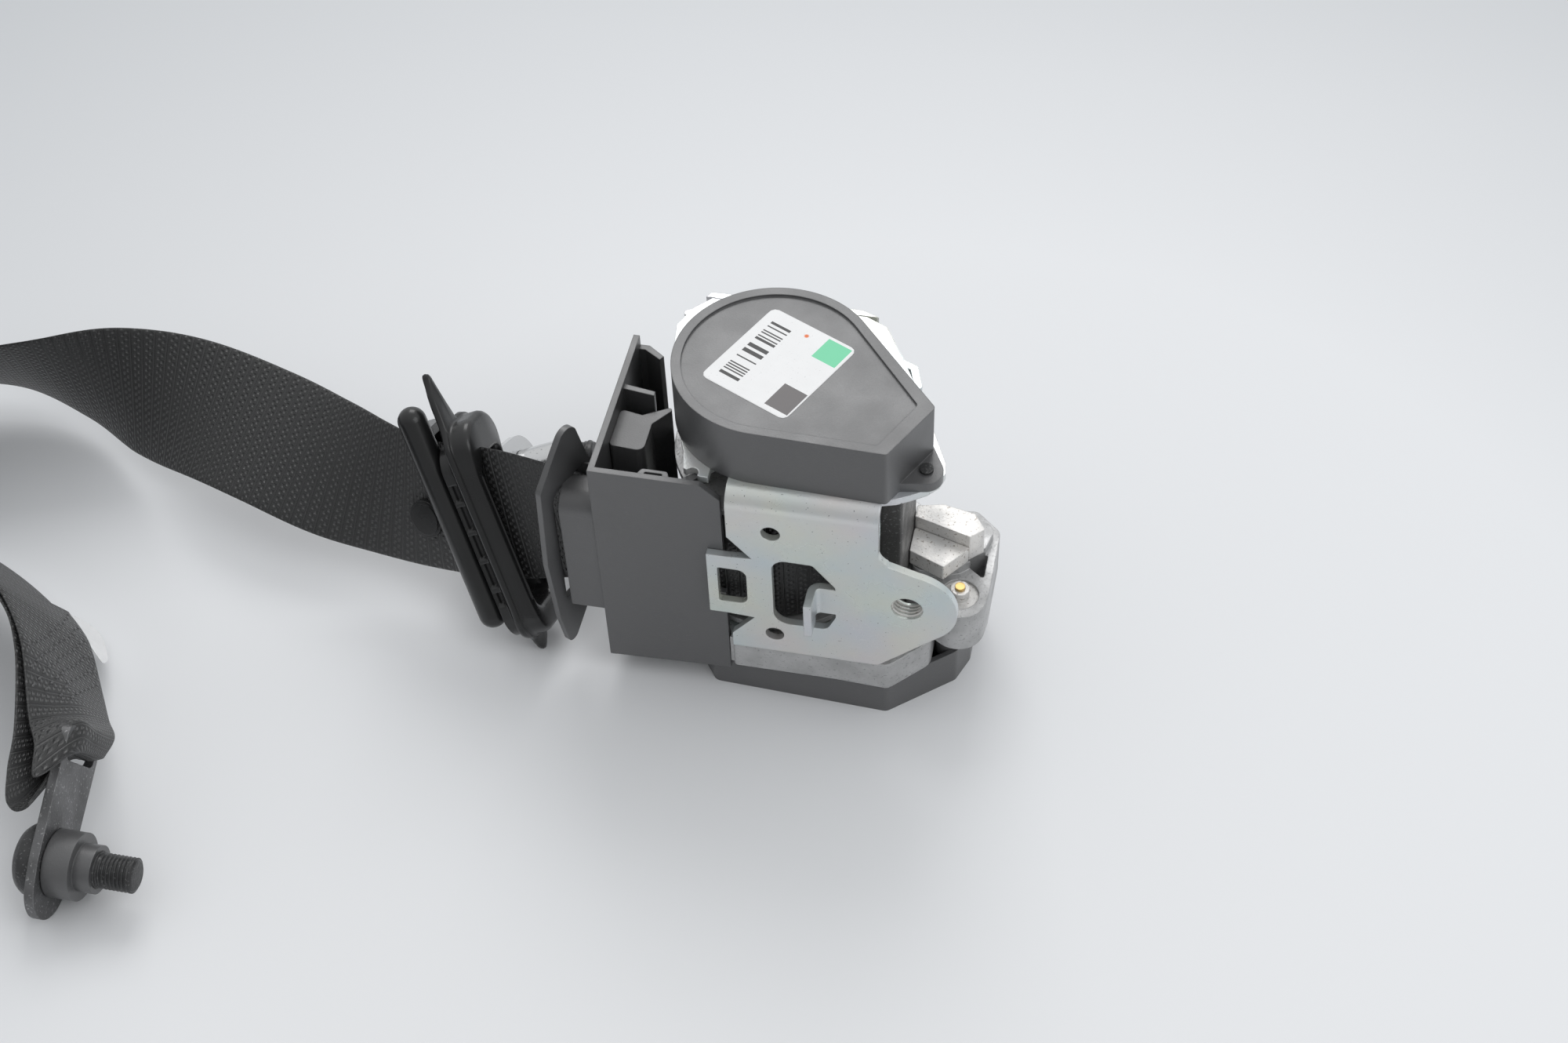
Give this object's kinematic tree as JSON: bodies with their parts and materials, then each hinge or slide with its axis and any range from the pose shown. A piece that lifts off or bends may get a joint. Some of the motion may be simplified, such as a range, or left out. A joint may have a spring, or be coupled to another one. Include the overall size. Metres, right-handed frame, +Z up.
{
  "type": "seat belt",
  "caption": "Front seat belt with locking retractor, black webbing, pillar loop, latch tongue, stop button and bolted end anchor.",
  "frame": {"origin": "spool axis at the level of the lower cover's flat face, on which the retractor lies", "axes": "+Z up along the spool axis, +X along the base plate away from the webbing outlet, -Y out of the base plate's front"},
  "size_m": [0.4076, 0.2106, 0.12],
  "materials": {
    "zinc_steel": "bright zinc plate with a faint yellow and pink tint",
    "dark_zinc": "dull grey zinc plate",
    "dark_steel": "phosphated dark steel",
    "bare_steel": "bare steel with light stains",
    "spring_steel": "blued spring strip",
    "chrome_steel": "bright plated steel",
    "die_cast": "as-cast alloy, slightly grainy",
    "brass": "plain",
    "black_plastic": "fine moulded grain",
    "smooth_plastic": "smooth, semi-gloss",
    "natural_plastic": "uncoloured moulding",
    "webbing_fabric": "ribbed woven polyester",
    "tag_fabric": "thin woven label"
  },
  "bodies": {
    "retractor": {"frame": "zinc_steel", "tie_plate": "zinc_steel", "spring_cover": "black_plastic", "cover_pins": "dark_steel", "spring_plate": "zinc_steel", "rewind_spring": "spring_steel", "spool_bushes": "natural_plastic", "pretensioner_housing": "die_cast", "tower_block": "dark_steel", "wedge_block_upper": "bare_steel", "wedge_block_lower": "bare_steel", "gas_generator": "bare_steel", "contact_pin": "brass", "lower_cover": "black_plastic", "cover_screws": "zinc_steel", "pawl_pin": "bare_steel", "sensor_cup": "natural_plastic", "webbing_guide": "black_plastic", "guide_insert": "black_plastic", "webbing_outlet": "black_plastic", "webbing": "webbing_fabric", "end_loop": "webbing_fabric", "care_tag": "tag_fabric", "stop_button_front": "smooth_plastic", "stop_button_back": "smooth_plastic"},
    "spool_set": {"spool": "die_cast", "webbing_roll": "webbing_fabric", "torsion_bar": "bare_steel", "spring_arbor": "natural_plastic", "drive_pinion": "dark_steel", "ratchet_wheel": "bare_steel"},
    "pawl": {"lock_pawl": "bare_steel"},
    "lever": {"sensor_lever": "natural_plastic"},
    "ball": {"sensor_ball": "bare_steel"},
    "piston": {"piston_rack": "bare_steel"},
    "pillar_loop": {"loop_plate": "chrome_steel", "loop_cover": "smooth_plastic"},
    "pillar_bolt": {"loop_bolt": "dark_steel", "loop_sleeve": "chrome_steel"},
    "tongue": {"tongue_plate": "chrome_steel", "tongue_grip": "smooth_plastic"},
    "anchor": {"anchor_plate": "dark_zinc"},
    "end_bolt": {"anchor_bolt": "dark_steel", "anchor_collar": "black_plastic"}
  },
  "joints": [
    {"name": "spool_spin", "type": "hinge", "parent": "retractor", "child": "spool_set", "pos_m": [0, 0, 0.057], "axis": [0, 0, 1], "continuous": true},
    {"name": "pawl_swing", "type": "hinge", "parent": "retractor", "child": "pawl", "pos_m": [0.026, 0.015, 0.01], "axis": [0, 0, -1], "range_deg": [0, 10]},
    {"name": "ball_roll", "type": "slide", "parent": "retractor", "child": "ball", "axis": [1, 0, 0], "range_m": [0, 0.0013]},
    {"name": "lever_tilt", "type": "hinge", "parent": "retractor", "child": "lever", "pos_m": [0.04575, -0.012, 0.0114], "axis": [0, 1, 0], "range_deg": [0, 5]},
    {"name": "piston_stroke", "type": "slide", "parent": "retractor", "child": "piston", "axis": [0, 1, 0], "range_m": [0, 0.028]},
    {"name": "loop_slide", "type": "slide", "parent": "retractor", "child": "pillar_loop", "axis": [0.911, -0.242, 0.334], "range_m": [0, 0.004]},
    {"name": "loop_bolt_spin", "type": "hinge", "parent": "pillar_loop", "child": "pillar_bolt", "pos_m": [-0.09462, 0.01978, 0.02837], "axis": [0.9153, 0.1515, 0.3732], "continuous": true},
    {"name": "tongue_slide", "type": "slide", "parent": "retractor", "child": "tongue", "axis": [-0.9242, 0.2361, -0.3001], "range_m": [0, 0.003]},
    {"name": "anchor_swing", "type": "hinge", "parent": "retractor", "child": "anchor", "pos_m": [-0.198, -0.11247, 0.03169], "axis": [0, -0.454, 0.891], "range_deg": [-6, 6]},
    {"name": "end_bolt_spin", "type": "hinge", "parent": "anchor", "child": "end_bolt", "pos_m": [-0.198, -0.1466, 0.0143], "axis": [1, 0, 0], "continuous": true}
  ],
  "couplings": [
    {"joint": "lever_tilt", "follows": "ball_roll", "rad_per_m": 66}
  ]
}
